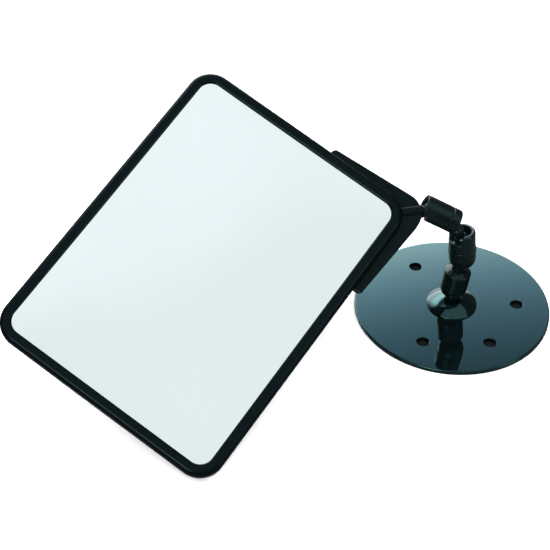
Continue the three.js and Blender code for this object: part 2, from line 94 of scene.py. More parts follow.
SHOE_GAP, SHOE_ROOM, SCREW_ROOM, BOARD_EDGE, SHOE_EDGE = 0.2, 0.25, 0.15, 0.25, 0.45
SHOE = {"leg": 58.0, "end_out": 4.6, "corner_out": 8.0, "round": 13.0, "front": -6.2, "web": 3.0}
SHOE_CUT_ALONG, SHOE_CUT_ACROSS, SHOE_INSET = 1.5, 2.0, 6.0
SHOE_BOSS_RADIUS, SHOE_BOSS_START, SHOE_BOSS_END = 4.0, -5.6, 6.8
STUD_REACH, STUD_DEPTH = 12.4, 9.0
SHOE_STUD = {"thread": 10.0, "collar": 3.6, "collar_thick": 0.6}
SHOE_SCREWS = ((61.0, 86.4), (62.0, 55.0), (29.5, 87.4))
SCREW_RADIUS, SCREW_HEAD, SCREW_HEAD_THICK, SCREW_TIP_GAP = 2.0, 3.6, 1.8, 0.4
HEAD_POSE = {"heading": -81.8, "tilt": 33.0, "spin": 48.2}
FACE_BACK = -TRIM_LIP - GAP - FACE_THICK
PAD_BACK = FACE_BACK - PAD_THICK
SHOE_BACK = -TRIM_DEPTH - SHOE_GAP - SHOE["web"]


# ---- places ----
def joint_point(name):
    joint = next(j for j in frame["joints"] if j["name"] == name)
    return Vector(joint["pos_m"])


def lean(heading, tilt, spin=0.0):
    turn = Matrix.Rotation(math.radians(heading), 4, "Z") @ Matrix.Rotation(math.radians(tilt), 4, "Y")
    return turn @ Matrix.Rotation(math.radians(spin), 4, "Z")


def place_along(start, end):
    """A place at start whose +Z points to end and whose +X is on the downhill side."""
    along = (end - start).normalized()
    heading = math.degrees(math.atan2(along.y, along.x))
    tilt = math.degrees(math.acos(along.z))
    return Matrix.Translation(start) @ lean(heading, tilt)


BASE_BALL = joint_point("lower_barrel_tilt")
LINK_BALL = joint_point("riser_barrel_tilt")
ELBOW_LOW = joint_point("elbow_swing")
ELBOW_HIGH = joint_point("cross_barrel_swing")
SHOE_BALL = joint_point("mirror_spin")
UPRIGHT = Matrix.Identity(4)
LOWER_PLACE = place_along(BASE_BALL, LINK_BALL)
RISER_PLACE = place_along(LINK_BALL, ELBOW_LOW)
ELBOW_PLACE = place_along(ELBOW_LOW, ELBOW_HIGH)
CROSS_PLACE = place_along(ELBOW_HIGH, SHOE_BALL)
HEAD_PLACE = Matrix.Translation(SHOE_BALL) @ lean(**HEAD_POSE)
STUD_SIDE = STUD_REACH * math.sqrt(0.5)
PANEL_SHIFT = Vector((-STUD_SIDE - PANEL_WIDTH / 2, -STUD_SIDE - PANEL_HEIGHT / 2, STUD_DEPTH))
PANEL_PLACE = HEAD_PLACE @ Matrix.Translation(PANEL_SHIFT * MM)
STUD_PLACE = HEAD_PLACE @ lean(45.0, 90.0)


def raised(place, height):
    return place @ Matrix.Translation((0, 0, height * MM))


# ---- mesh helpers ----
def arc(centre_r, centre_z, radius, start, end, steps):
    angles = [math.radians(start + (end - start) * i / steps) for i in range(steps + 1)]
    return [(centre_r + radius * math.cos(a), centre_z + radius * math.sin(a)) for a in angles]


def rounded(points, radius=0.25, steps=4, closed=True):
    """Rounds the sharp corners of an outline and leaves its smooth stretches."""
    result = []
    count = len(points)
    for i, point in enumerate(points):
        here = Vector(point[:2])
        if not closed and i in (0, count - 1):
            result.append(tuple(here))
            continue
        back = Vector(points[i - 1][:2]) - here
        ahead = Vector(points[(i + 1) % count][:2]) - here
        if back.length < 1e-6 or ahead.length < 1e-6 or back.angle(ahead) > math.radians(FLAT_CORNER):
            result.append(tuple(here))
            continue
        size = min(radius, 0.45 * back.length, 0.45 * ahead.length)
        start, end = here + back.normalized() * size, here + ahead.normalized() * size
        for k in range(steps + 1):
            t = k / steps
            result.append(tuple(start * (1 - t) ** 2 + here * 2 * t * (1 - t) + end * t ** 2))
    return result


def piece(name, verts, faces, place, smooth_angle=SHARP_ANGLE):
    """A mesh object from points in millimetres, moved to their place, with its faces turned outward."""
    mesh = bpy.data.meshes.new(name)
    mesh.from_pydata([place @ (Vector(v) * MM) for v in verts], [], faces)
    tidy = bmesh.new()
    tidy.from_mesh(mesh)
    bmesh.ops.remove_doubles(tidy, verts=tidy.verts, dist=1e-7)
    bmesh.ops.recalc_face_normals(tidy, faces=tidy.faces)
    tidy.to_mesh(mesh)
    tidy.free()
    result = bpy.data.objects.new(name, mesh)
    bpy.context.scene.collection.objects.link(result)
    soften(result, smooth_angle)
    return result


def soften(target, smooth_angle=SHARP_ANGLE):
    target.data.polygons.foreach_set("use_smooth", [True] * len(target.data.polygons))
    target.data.set_sharp_from_angle(angle=math.radians(smooth_angle))
    if "evened_normals" not in target.modifiers:
        weighted = target.modifiers.new("evened_normals", "WEIGHTED_NORMAL")
        weighted.keep_sharp = True


def skin(rings, closed_profile):
    """Faces between rings of points, where each ring is one profile and the rings go round."""
    count = len(rings[0])
    verts = [point for ring in rings for point in ring]
    faces = []
    step_total = count if closed_profile else count - 1
    for a in range(len(rings)):
        b = (a + 1) % len(rings)
        for i in range(step_total):
            j = (i + 1) % count
            faces.append((a * count + i, a * count + j, b * count + j, b * count + i))
    return verts, faces


def swept(name, profile_at, angles, place, closed):
    """Turns a profile, which may change with the angle, about the local Z axis."""
    rings = []
    for angle in angles:
        c, s = math.cos(math.radians(angle)), math.sin(math.radians(angle))
        rings.append([(r * c, r * s, z) for r, z in profile_at(angle)])
    return piece(name, *skin(rings, closed), place)


def lathe(name, profile, place, segments=96, radius=0.25):
    closed = profile[0][0] > 1e-6
    smooth = rounded(profile, radius, closed=closed)
    angles = [360.0 * i / segments for i in range(segments)]
    return swept(name, lambda angle: smooth, angles, place, closed)


def extruded(name, outline, low, high, place):
    count = len(outline)
    verts = [(x, y, low) for x, y in outline] + [(x, y, high) for x, y in outline]
    faces = [tuple(range(count)), tuple(range(count, 2 * count))]
    faces += [(i, (i + 1) % count, count + (i + 1) % count, count + i) for i in range(count)]
    return piece(name, verts, faces, place)


def applied(target):
    """Makes the result of a piece's modifiers its mesh."""
    graph = bpy.context.evaluated_depsgraph_get()
    mesh = bpy.data.meshes.new_from_object(target.evaluated_get(graph))
    target.modifiers.clear()
    target.data = mesh
    return target


def cut(target, cutters, operation="DIFFERENCE"):
    """Cuts the cutters out of a piece, or joins them to it, and removes them."""
    target.modifiers.clear()
    for cutter in cutters:
        cutter.modifiers.clear()
        change = target.modifiers.new("change", "BOOLEAN")
        change.operation = operation
        change.solver = "EXACT"
        change.object = cutter
    bpy.context.view_layer.update()
    applied(target)
    for cutter in cutters:
        bpy.data.objects.remove(cutter)
    soften(target)
    return target


def edged(target, width):
    """Rounds a piece's sharp edges."""
    target.modifiers.clear()
    bevel = target.modifiers.new("edge", "BEVEL")
    bevel.width = width * MM
    bevel.segments = 3
    bevel.limit_method = "ANGLE"
    bevel.angle_limit = math.radians(SHARP_ANGLE)
    bevel.use_clamp_overlap = True
    bpy.context.view_layer.update()
    applied(target)
    soften(target)
    return target


# ---- material helpers ----
def socket(node, name, value):
    node.inputs[name].default_value = value


class Look:
    """A Principled material with its node tree, and short names for what is added to it."""

    def __init__(self, name, metallic=0.0):
        self.material = bpy.data.materials.new(name)
        self.material.use_nodes = True
        self.tree = self.material.node_tree
        self.shader = self.tree.nodes["Principled BSDF"]
        socket(self.shader, "Metallic", metallic)
        self.coordinates = self.add("ShaderNodeTexCoord").outputs["Object"]

    def add(self, kind, **settings):
        node = self.tree.nodes.new(kind)
        for key, value in settings.items():
            setattr(node, key, value)
        return node

    def link(self, source, target):
        self.tree.links.new(source, target)

    def stretched(self, scale):
        mapping = self.add("ShaderNodeMapping")
        socket(mapping, "Scale", scale)
        self.link(self.coordinates, mapping.inputs["Vector"])
        return mapping.outputs["Vector"]

    def noise(self, scale, detail=4.0, roughness=0.55, vector=None):
        node = self.add("ShaderNodeTexNoise")
        socket(node, "Scale", scale)
        socket(node, "Detail", detail)
        socket(node, "Roughness", roughness)
        self.link(vector or self.coordinates, node.inputs["Vector"])
        return node.outputs["Fac"]

    def cells(self, scale):
        node = self.add("ShaderNodeTexVoronoi", feature="SMOOTH_F1")
        socket(node, "Scale", scale)
        self.link(self.coordinates, node.inputs["Vector"])
        return node.outputs["Distance"]

    def ranged(self, source, low, high, to_low, to_high):
        node = self.add("ShaderNodeMapRange")
        for key, value in (("From Min", low), ("From Max", high), ("To Min", to_low), ("To Max", to_high)):
            socket(node, key, value)
        self.link(source, node.inputs["Value"])
        return node.outputs["Result"]

    def math(self, operation, first, second):
        node = self.add("ShaderNodeMath", operation=operation)
        for index, value in enumerate((first, second)):
            if isinstance(value, (int, float)):
                node.inputs[index].default_value = value
            else:
                self.link(value, node.inputs[index])
        return node.outputs["Value"]

    def mixed(self, factor, first, second):
        node = self.add("ShaderNodeMix", data_type="RGBA")
        sockets = [s for s in node.inputs if s.type == "RGBA"]
        for target, value in zip(sockets, (first, second)):
            if isinstance(value, tuple):
                target.default_value = (*value, 1.0)
            else:
                self.link(value, target)
        self.link(factor, node.inputs["Factor"])
        return next(s for s in node.outputs if s.type == "RGBA")

    def edges(self, radius):
        """About 1 along sharp edges and 0 on flat faces."""
        bevel = self.add("ShaderNodeBevel", samples=6)
        socket(bevel, "Radius", radius * MM)
        geometry = self.add("ShaderNodeNewGeometry")
        dot = self.add("ShaderNodeVectorMath", operation="DOT_PRODUCT")
        self.link(bevel.outputs["Normal"], dot.inputs[0])
        self.link(geometry.outputs["Normal"], dot.inputs[1])
        return self.ranged(dot.outputs["Value"], 0.99, 0.86, 0.0, 1.0)

    def bump(self, height, strength, distance):
        node = self.add("ShaderNodeBump")
        socket(node, "Strength", strength)
        socket(node, "Distance", distance * MM)
        self.link(height, node.inputs["Height"])
        previous = self.shader.inputs["Normal"]
        if previous.is_linked:
            self.link(previous.links[0].from_socket, node.inputs["Normal"])
        self.link(node.outputs["Normal"], previous)

    def finish(self, color, roughness):
        self.link(color, self.shader.inputs["Base Color"])
        self.link(roughness, self.shader.inputs["Roughness"])
        return self.material


def shade(color, factor):
    return tuple(min(1.0, c * factor) for c in color)


def paint(name, color, roughness, worn, wear, specular=0.5, tint=(1.0, 1.0, 1.0), ripple=0.03):
    """Stoved paint: a faint ripple, fine dust-nib grain, cloudy tone and rubbed edges."""
    look = Look(name)
    socket(look.shader, "Specular IOR Level", specular)
    socket(look.shader, "Specular Tint", (*tint, 1.0))
    cloud = look.noise(38.0, 5.0)
    tone = look.mixed(look.ranged(cloud, 0.3, 0.7, 0.0, 1.0), shade(color, 0.8), shade(color, 1.25))
    scuff = look.ranged(look.noise(520.0, 3.0), 0.45, 0.62, 0.0, 1.0)
    rub = look.math("MULTIPLY", look.math("MULTIPLY", look.edges(0.35), scuff), wear)
    body = look.mixed(rub, tone, worn)
    smear = look.noise(70.0, 6.0, 0.7, look.stretched((1.0, 2.6, 0.7)))
    gloss = look.ranged(smear, 0.3, 0.75, roughness * 0.8, roughness * 1.35)
    dulled = look.math("ADD", gloss, look.math("MULTIPLY", rub, 0.25))
    look.bump(look.noise(260.0, 2.0), ripple, 0.05)
    look.bump(look.noise(2400.0, 2.0), ripple * 1.2, 0.006)
    return look.finish(body, dulled)


def metal(name, color, roughness):
    """Machined or ground metal, with fine marks round the axis and darker stains."""
    look = Look(name, metallic=1.0)
    marks = look.noise(420.0, 4.0, 0.6, look.stretched((1.0, 1.0, 14.0)))
    stain = look.ranged(look.noise(160.0, 4.0), 0.35, 0.7, 0.0, 1.0)
    tone = look.mixed(stain, color, shade(color, 0.72))
    gloss = look.ranged(marks, 0.3, 0.7, roughness * 0.75, roughness * 1.4)
    look.bump(marks, 0.12, 0.02)
    return look.finish(tone, gloss)


def moulded(name, color, roughness, grain, strength, specular=0.5, tint=(1.0, 1.0, 1.0)):
    """Moulded plastic or rubber: a fine pebble grain over a soft uneven tone."""
    look = Look(name)
    socket(look.shader, "Specular IOR Level", specular)
    socket(look.shader, "Specular Tint", (*tint, 1.0))
    tone_noise = look.ranged(look.noise(24.0, 6.0, 0.65), 0.3, 0.7, 0.0, 1.0)
    tone = look.mixed(tone_noise, shade(color, 0.8), shade(color, 1.2))
    dust = look.ranged(look.noise(900.0, 3.0), 0.56, 0.74, 0.0, 0.12)
    body = look.mixed(dust, tone, shade(color, 4.0))
    pebble = look.cells(grain)
    gloss = look.ranged(look.noise(46.0, 5.0), 0.3, 0.7, roughness * 0.85, roughness * 1.2)
    look.bump(pebble, strength, 0.05)
    look.bump(look.noise(grain * 0.6, 3.0), strength * 0.6, 0.04)
    return look.finish(body, gloss)


def silvered(name):
    """A silvered acrylic mirror: a cool tint, faint dust and wiping marks."""
    tint = (0.83, 0.93, 0.94)
    look = Look(name, metallic=1.0)
    veil = look.ranged(look.noise(9.0, 3.0, 0.5), 0.35, 0.7, 0.0, 1.0)
    tone = look.mixed(veil, tint, shade(tint, 0.97))
    wipes = look.noise(16.0, 6.0, 0.72, look.stretched((1.0, 3.5, 1.0)))
    gloss = look.ranged(wipes, 0.35, 0.75, 0.025, 0.07)
    look.bump(look.noise(11.0, 1.0), 0.02, 0.3)
    return look.finish(tone, gloss)


def foam(name, color):
    look = Look(name)
    pores = look.cells(1600.0)
    body = look.mixed(look.ranged(pores, 0.1, 0.5, 0.0, 1.0), shade(color, 0.7), color)
    look.bump(pores, 0.4, 0.15)
    return look.finish(body, look.ranged(look.noise(60.0), 0.3, 0.7, 0.8, 0.98))


BLACK = (0.0016, 0.0034, 0.0036)
TEAL_GLINT = (0.55, 0.95, 1.0)
LOOKS = {
    "base_paint": paint("base_paint", (0.0008, 0.0022, 0.0024), 0.03, (0.02, 0.03, 0.03), 0.3,
                        specular=0.62, tint=(0.40, 0.98, 1.0), ripple=0.01),
    "arm_paint": paint("arm_paint", BLACK, 0.22, (0.05, 0.06, 0.06), 0.5, specular=0.28, tint=TEAL_GLINT),
    "ball_paint": paint("ball_paint", BLACK, 0.12, (0.06, 0.07, 0.07), 0.5, specular=0.42, tint=TEAL_GLINT),
    "stud_steel": paint("stud_steel", BLACK, 0.24, (0.05, 0.06, 0.06), 0.5, specular=0.2, tint=TEAL_GLINT),
    "seat_nylon": moulded("seat_nylon", (0.62, 0.58, 0.48), 0.5, 1500.0, 0.1),
    "spring_steel": metal("spring_steel", (0.5, 0.51, 0.52), 0.28),
    "shoe_paint": paint("shoe_paint", (0.0012, 0.0022, 0.0022), 0.26, (0.03, 0.035, 0.035), 0.5,
                        specular=0.07, tint=TEAL_GLINT, ripple=0.03),
    "pad_rubber": moulded("pad_rubber", (0.004, 0.005, 0.005), 0.6, 1800.0, 0.2, specular=0.2),
    "trim_rubber": moulded("trim_rubber", (0.0008, 0.0018, 0.0021), 0.24, 1700.0, 0.03,
                           specular=0.075, tint=(0.55, 0.93, 1.0)),
    "board_plastic": moulded("board_plastic", (0.008, 0.010, 0.010), 0.5, 950.0, 0.3, specular=0.3),
    "pad_foam": foam("pad_foam", (0.75, 0.73, 0.68)),
    "mirror": silvered("mirror"),
    "screw_steel": metal("screw_steel", (0.62, 0.63, 0.64), 0.25),
}
SLOT_OF = {part["node"]: part["material_slot"] for part in frame["record"]["subparts"]}
BODIES = frame["record"]["behaviour"]["bodies"]


def stands_for(made, node):
    """Puts a finished piece in the place of a CAD node: same body, same material slot."""
    slot = SLOT_OF[node]
    made.data.materials.clear()
    made.data.materials.append(LOOKS[slot])
    body = next(name for name, nodes in BODIES.items() if node in nodes)
    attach(made, body)
    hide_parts(node)
    return made


# ---- base ----
def base_plate():
    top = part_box("base_plate")[1]
    radius, thick = top.x / MM, top.z / MM
    edge = PLATE_EDGE
    profile = [
        (0, 0), (radius - 2 * edge, 0), *arc(radius - edge, edge, edge, -90, 0, 6),
        *arc(radius - edge, thick - edge, edge, 0, 90, 6), (radius - 2 * edge, thick), (0, thick),
    ]
    plate = lathe("smooth_base_plate", profile, UPRIGHT, 192, radius=0.05)
    flare = 0.35
    wide = HOLE_RADIUS + flare
    cutters = []
    for angle in HOLE_ANGLES:
        place = Matrix.Rotation(math.radians(angle), 4, "Z") @ Matrix.Translation((HOLE_CIRCLE * MM, 0, 0))
        hole = [
            (0, -OVERCUT), (wide, -OVERCUT), (wide, 0), (HOLE_RADIUS, flare),
            (HOLE_RADIUS, thick - flare), (HOLE_RADIUS + flare * 0.3, thick - flare * 0.3),
            (wide, thick), (wide, thick + OVERCUT), (0, thick + OVERCUT),
        ]
        cutters.append(lathe("hole_cutter", hole, place, 64, radius=0.0001))
    return stands_for(cut(plate, cutters), "base_plate")


def base_boss():
    low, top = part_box("base_boss")[0].z / MM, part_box("base_boss")[1].z / MM
    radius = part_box("base_boss")[1].x / MM
    shoulder = low + BOSS_SHOULDER
    centre = (radius ** 2 - BOSS_FLAT ** 2 + shoulder ** 2 - top ** 2) / (2 * (shoulder - top))
    sphere = math.hypot(radius, shoulder - centre)
    start = math.degrees(math.asin((shoulder - centre) / sphere))
    end = math.degrees(math.asin((top - centre) / sphere))
    profile = [
        (0, low), (radius, low), *arc(0, centre, sphere, start, end, 40),
        (BOSS_BORE, top), (BOSS_BORE, top - BOSS_BORE_DEPTH), (0, top - BOSS_BORE_DEPTH),
    ]
    return stands_for(lathe("smooth_base_boss", profile, UPRIGHT, 160, radius=0.5), "base_boss")


# ---- studs and balls ----
def pin_end(height, way):
    """The outline of a ball's pin and neck, from the pin's head on. way is 1 for a head on top, -1 below."""
    points = [
        (PIN_HEAD - 0.5, PIN_TOP), (PIN_HEAD, PIN_TOP - 0.25), (PIN_HEAD, PIN_TOP - PIN_HEAD_THICK),
        (PIN, PIN_TOP - PIN_HEAD_THICK), (PIN, -PIN_TOP), (NECK, -PIN_TOP),
    ]
    return [(r, height + way * z) for r, z in points]


def ball_stud(node, place, foot, end, collar=4.2, collar_thick=1.2):
    profile = [
        (0, PIN_TOP), *pin_end(0, 1), (NECK, foot + collar_thick), (collar, foot + collar_thick),
        (collar, foot), (NECK, foot), (NECK, end), (0, end),
    ]
    return stands_for(lathe("smooth_" + node, profile, place, 72, radius=0.3), node)


def elbow_stud():
    sleeve, start, end, edge = ELBOW["sleeve"], ELBOW["start"], ELBOW["end"], ELBOW["edge"]
    length = ELBOW["length"]
    lower = pin_end(0, -1)
    upper = list(reversed(pin_end(length, 1)))
    profile = [
        (0, -PIN_TOP), *lower, (NECK, start), (sleeve, start + edge), (sleeve, end - edge), (NECK, end),
        *upper, (0, length + PIN_TOP),
    ]
    return stands_for(lathe("smooth_elbow_stud", profile, ELBOW_PLACE, 72, radius=0.6), "elbow_stud")


def ball(node, place, flip=1):
    bore, sink = PIN + PIN_GAP, PIN_HEAD + TOUCH
    flat = PIN_TOP - TOUCH
    low = math.degrees(math.asin(-flat / BALL_RADIUS))
    high = math.degrees(math.acos(sink / BALL_RADIUS))
    floor = PIN_TOP - PIN_HEAD_THICK - TOUCH
    outline = [
        (bore, -flat), *arc(0, 0, BALL_RADIUS, low, high, 40), (sink, floor), (bore, floor),
    ]
    profile = [(r, flip * z) for r, z in outline]
    return stands_for(lathe("smooth_" + node, profile, place, 96, radius=0.15), node)


# ---- barrels ----
LIP_HEIGHT = math.sqrt(BORE ** 2 - LIP ** 2)


def wall_radius(height, rim):
    """The radius of the socket's wall at a height above the ball's centre."""
    if height <= 0:
        return BORE
    if height <= LIP_HEIGHT:
        return math.sqrt(BORE ** 2 - height ** 2)
    return LIP + (MOUTH - LIP) * (height - LIP_HEIGHT) / (rim - LIP_HEIGHT)


def slotted_cup(node, place, size, slot_floor, heading, tail, flip=1):
    """A barrel's mouth with one side cut down for the neck. tail is the rest of its outline, below."""
    radius, rim = size["radius"], size["rim"]
    steps, low_edge, below, throat, chamfer = 14, 0.5, -2.2, 0.3, 0.08

    def profile_at(angle):
        away = abs((angle - heading + 180) % 360 - 180)
        t = min(1.0, max(0.0, (away - SLOT_HALF + SLOT_BLEND / 2) / SLOT_BLEND))
        share = t * t * (3 - 2 * t)
        top = slot_floor + (rim - slot_floor) * share
        edge = low_edge + (size["edge"] - low_edge) * share
        inner = wall_radius(top, rim)
        shoulder = arc(radius - edge, top - edge, edge, 0, 90, 8)
        heights = [top - throat + (below - top + throat) * k / steps for k in range(steps + 1)]
        wall = [(wall_radius(z, rim), z) for z in heights]
        points = [*shoulder, (inner + chamfer, top), (inner, top - chamfer), *wall]
        return [(r, flip * z) for r, z in points + tail]

    even = [3.0 * i for i in range(120)]
    fine = [heading + side * SLOT_HALF + 0.5 * k for side in (-1, 1) for k in range(-10, 11)]
    angles = sorted({round(a % 360, 3) for a in even + fine})
    return stands_for(swept("smooth_" + node, profile_at, angles, place, True), node)


def domed_outline(radius):
    """The outline of a domed barrel end that opens downward, from its bore to its outer wall."""
    lip_angle = math.degrees(math.acos(LIP / BORE))
    edge_angle = math.degrees(math.asin(DOME_END / radius))
    upward = [
        *arc(0, 0, BORE, 0, lip_angle, 12), (MOUTH, DOME_END), *arc(0, 0, radius, edge_angle, 0, 24),
    ]
    return [(r, -z) for r, z in upward]


def lower_barrel():
    radius, top, flat = LOWER["radius"], LOWER["top"], LOWER["flat"]
    joint = top - LOWER["cap"]
    socket_top = joint - GAP
    socket_profile = [*domed_outline(radius), (radius, socket_top), (BORE, socket_top)]
    stands_for(lathe("smooth_lower_socket", socket_profile, LOWER_PLACE, 128, radius=0.3), "lower_socket")
    bore, thread_end = NECK + TOUCH, top - STUD_HOLE
    cap_profile = [
        (0, LOWER_SPIGOT_END), (LOWER_SPIGOT, LOWER_SPIGOT_END), (LOWER_SPIGOT, joint), (radius, joint),
        (radius, top - LOWER["cone"]), (flat, top), (bore, top), (bore, thread_end), (0, thread_end),
    ]
    stands_for(lathe("smooth_lower_cap", cap_profile, LOWER_PLACE, 128, radius=0.7), "lower_cap")


def riser_barrel():
    radius, spigot, cup, spigot_end = RISER["radius"], RISER["spigot"], RISER["cup"], RISER["spigot_end"]
    inner, chamfer = spigot + GAP, 0.25
    lower = [*domed_outline(radius), (radius, cup), (spigot, cup), (spigot, spigot_end), (BORE, spigot_end)]
    stands_for(lathe("smooth_riser_lower_cup", lower, RISER_PLACE, 128, radius=0.3), "riser_lower_cup")
    start, end, outer = COLLAR["start"], COLLAR["end"], COLLAR["radius"]
    collar = [(inner, start), (outer, start), (outer, end), (inner, end)]
    stands_for(lathe("smooth_riser_collar", collar, RISER_PLACE, 128, radius=0.5), "riser_collar")
    low = COLLAR["end"] + 2 * GAP - RISER["span"]
    step = spigot_end + GAP - RISER["span"]
    tail = [(BORE, step), (inner, step), (inner, low), (radius - chamfer, low), (radius, low + chamfer)]
    place = raised(RISER_PLACE, RISER["span"])
    slotted_cup("riser_upper_cup", place, RISER, SLOT_SHALLOW, SLOT_TURN["riser"], tail)


def cross_barrel():
    radius, spigot, cup, spigot_end = CROSS["radius"], CROSS["spigot"], CROSS["cup"], CROSS["spigot_end"]
    inner, chamfer = spigot + GAP, 0.2
    right_tail = [
        (BORE, -spigot_end), (spigot, -spigot_end), (spigot, -cup), (radius - chamfer, -cup),
        (radius, chamfer - cup),
    ]
    right, left = CROSS | CROSS_RIGHT, CROSS | CROSS_LEFT
    turn = SLOT_TURN["cross_right"]
    slotted_cup("cross_right_cup", CROSS_PLACE, right, SLOT_DEEP, turn, right_tail, flip=-1)
    low = cup + CROSS["groove"] - CROSS["span"]
    step = spigot_end + GAP - CROSS["span"]
    left_tail = [(BORE, step), (inner, step), (inner, low), (radius - chamfer, low), (radius, low + chamfer)]
    place = raised(CROSS_PLACE, CROSS["span"])
    slotted_cup("cross_left_cup", place, left, SLOT_SHALLOW, SLOT_TURN["cross_left"], left_tail)


# ---- mirror panel ----
def panel_outline(inset, corner_steps=20, side_steps=12):
    """Points round the panel's rounded rectangle, set in from its outside."""
    x, y = PANEL_WIDTH / 2 - inset, PANEL_HEIGHT / 2 - inset
    r = max(PANEL_CORNER - inset, 0.5)
    centres = ((x - r, y - r), (-x + r, y - r), (-x + r, -y + r), (x - r, -y + r))
    points = []
    for k, (cx, cy) in enumerate(centres):
        bend = arc(cx, cy, r, 90 * k, 90 * k + 90, corner_steps)
        nx, ny = centres[(k + 1) % 4]
        following = arc(nx, ny, r, 90 * k + 90, 90 * k + 90, 1)[0]
        last = Vector(bend[-1])
        points += bend
        points += [tuple(last.lerp(Vector(following), i / side_steps)) for i in range(1, side_steps)]
    return points


def edge_trim():
    face, depth, lip, channel, crown = TRIM_FACE, TRIM_DEPTH, TRIM_LIP, TRIM_CHANNEL, TRIM_CROWN
    side, back_edge, inner_edge = 5.0, 1.4, 0.5
    profile = [
        (0, back_edge - depth), (0, -side), *arc(crown, -crown, crown, 180, 90, 14),
        (face - 1.0, -0.4), (face - 0.25, -0.9), (face, -lip),
        (channel, -lip), (channel, lip - depth), (face, lip - depth), (face, inner_edge - depth),
        (face - inner_edge, -depth), (back_edge, -depth),
    ]
    smooth = rounded(profile, 0.45, 5)
    rings = [[(x, y, z) for x, y in panel_outline(inset)] for inset, z in smooth]
    made = piece("smooth_edge_trim", *skin(rings, True), PANEL_PLACE, smooth_angle=50.0)
    return stands_for(made, "edge_trim")


def face_height(x, y):
    half_width = PANEL_WIDTH / 2 - TRIM_FACE
    half_height = PANEL_HEIGHT / 2 - TRIM_FACE
    across = max(0.0, 1 - (x / half_width) ** 2)
    along = max(0.0, 1 - (y / half_height) ** 2)
    return FACE_RISE * across * along


def mirror_face():
    rings = 40
    front = -TRIM_LIP - GAP
    outer, inner = panel_outline(PANEL_INSET), panel_outline(TRIM_FACE)
    shares = [math.cos(math.pi / 2 * i / rings) for i in range(rings)]
    plan = [outer, *([(x * s, y * s) for x, y in inner] for s in shares)]
    top = [[(x, y, front + face_height(x, y)) for x, y in ring] for ring in plan]
    under = [[(x, y, z - FACE_THICK) for x, y, z in ring] for ring in reversed(top)]
    verts, faces = skin(top + under, True)
    count = len(outer)
    middle = len(top) - 1
    faces = [face for face in faces if not middle * count <= face[0] < (middle + 1) * count]
    for ring, height in ((middle, front + FACE_RISE), (middle + 1, front + FACE_RISE - FACE_THICK)):
        centre = len(verts)
        verts.append((0, 0, height))
        faces += [(ring * count + i, ring * count + (i + 1) % count, centre) for i in range(count)]
    return stands_for(piece("smooth_mirror_face", verts, faces, PANEL_PLACE), "mirror_face")


def backing_board():
    """The board, with its corners and edges rounded."""
    low, high = PAD_BACK - TOUCH - BOARD_THICK, PAD_BACK - TOUCH
    outline = panel_outline(PANEL_INSET, 16, 1)
    board = extruded("smooth_backing_board", outline, low, high, PANEL_PLACE)
    drills = [drill(x, y, SCREW_RADIUS + TOUCH, low - OVERCUT, high + OVERCUT) for x, y in SHOE_SCREWS]
    return stands_for(edged(cut(board, drills), BOARD_EDGE), "backing_board")


def drill(x, y, radius, low, high):
    place = PANEL_PLACE @ Matrix.Translation((x * MM, y * MM, 0))
    profile = [(0, low), (radius, low), (radius, high), (0, high)]
    return lathe("drill_cutter", profile, place, 48, radius=0.001)


# ---- corner shoe ----
def shoe_outline():
    leg, end_out, corner_out = SHOE["leg"], SHOE["end_out"], SHOE["corner_out"]
    turn = SHOE["round"]
    x, y = PANEL_WIDTH / 2, PANEL_HEIGHT / 2
    corner = arc(x + corner_out - turn, y + corner_out - turn, turn, 90, 0, 24)
    outline = [
        (x - leg + SHOE_CUT_ALONG, y + end_out), *corner, (x + end_out, y - leg + SHOE_CUT_ALONG),
        (x + end_out - SHOE_CUT_ACROSS, y - leg), (x - SHOE_INSET, y - leg), (x - leg, y - SHOE_INSET),
        (x - leg, y + end_out - SHOE_CUT_ACROSS),
    ]
    return rounded(outline, 1.2, 5)


def along_diagonal(name, profile):
    place = PANEL_PLACE @ Matrix.Translation((PANEL_WIDTH / 2 * MM, PANEL_HEIGHT / 2 * MM, -STUD_DEPTH * MM))
    return lathe(name, profile, place @ lean(45.0, 90.0), 72, radius=0.6)


def corner_shoe():
    shoe = extruded("smooth_corner_shoe", shoe_outline(), SHOE_BACK, SHOE["front"], PANEL_PLACE)
    radius, start, end = SHOE_BOSS_RADIUS, SHOE_BOSS_START, SHOE_BOSS_END
    boss = along_diagonal("boss_part", [(0, start), (radius, start), (radius, end), (0, end)])
    cut(shoe, [boss], "UNION")
    outline = panel_outline(-SHOE_ROOM, 24, 1)
    past = 5 * OVERCUT
    pocket = extruded("pocket_cutter", outline, -TRIM_DEPTH - SHOE_GAP, past, PANEL_PLACE)
    bore, blind_end = NECK + TOUCH, 1.5
    low, high = start + blind_end, end + past
    thread = along_diagonal("thread_cutter", [(0, low), (bore, low), (bore, high), (0, high)])
    hole, low, high = SCREW_RADIUS + SCREW_ROOM, SHOE_BACK - OVERCUT, -TRIM_DEPTH + OVERCUT
    drills = [drill(x, y, hole, low, high) for x, y in SHOE_SCREWS]
    cut(shoe, [pocket, thread, *drills])
    return stands_for(edged(shoe, SHOE_EDGE), "corner_shoe")


